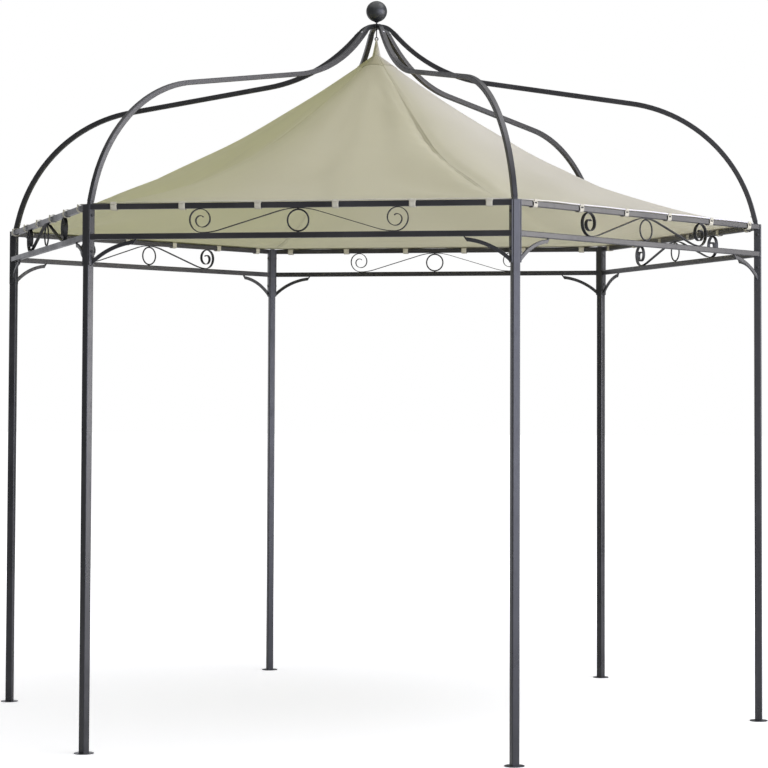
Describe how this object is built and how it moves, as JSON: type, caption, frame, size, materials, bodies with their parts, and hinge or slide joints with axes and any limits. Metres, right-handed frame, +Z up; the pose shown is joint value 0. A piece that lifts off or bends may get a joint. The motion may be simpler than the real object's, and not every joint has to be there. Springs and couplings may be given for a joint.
{
  "type": "garden gazebo",
  "caption": "Hexagonal garden gazebo of square steel tube with scrollwork under the eave, ogee arches that rise to a ball finial, and a sagging fabric canopy hung inside them.",
  "frame": {"origin": "centre of the gazebo on the ground, under the feet", "axes": "+Z up, -Y towards the front bay, +X towards the right-hand post"},
  "size_m": [3.58, 3.1108, 3.2687],
  "materials": {
    "post_paint": "semi-gloss",
    "bracket_paint": "semi-gloss",
    "rail_paint": "semi-gloss",
    "scroll_paint": "satin",
    "arch_paint": "semi-gloss",
    "crown_paint": "satin",
    "zinc_wire": "satin",
    "canopy_fabric": "matte woven polyester",
    "strap_webbing": "matte webbing"
  },
  "bodies": {
    "root": {"post_front_right": "post_paint", "post_right": "post_paint", "post_back_right": "post_paint", "post_back_left": "post_paint", "post_left": "post_paint", "post_front_left": "post_paint", "foot_plates": "post_paint", "corner_bracket_front_right": "bracket_paint", "corner_bracket_right": "bracket_paint", "corner_bracket_back_right": "bracket_paint", "corner_bracket_back_left": "bracket_paint", "corner_bracket_left": "bracket_paint", "corner_bracket_front_left": "bracket_paint", "upper_rail_front": "rail_paint", "upper_rail_front_right": "rail_paint", "upper_rail_back_right": "rail_paint", "upper_rail_back": "rail_paint", "upper_rail_back_left": "rail_paint", "upper_rail_front_left": "rail_paint", "lower_rail_front": "rail_paint", "lower_rail_front_right": "rail_paint", "lower_rail_back_right": "rail_paint", "lower_rail_back": "rail_paint", "lower_rail_back_left": "rail_paint", "lower_rail_front_left": "rail_paint", "scrollwork_front": "scroll_paint", "scrollwork_front_right": "scroll_paint", "scrollwork_back_right": "scroll_paint", "scrollwork_back": "scroll_paint", "scrollwork_back_left": "scroll_paint", "scrollwork_front_left": "scroll_paint", "arch_front_right": "arch_paint", "arch_right": "arch_paint", "arch_back_right": "arch_paint", "arch_back_left": "arch_paint", "arch_left": "arch_paint", "arch_front_left": "arch_paint", "crown_hub": "crown_paint", "ball_finial": "crown_paint", "canopy_hook": "zinc_wire", "canopy_loop": "strap_webbing", "canopy": "canopy_fabric", "canopy_straps": "strap_webbing"}
  },
  "joints": []
}
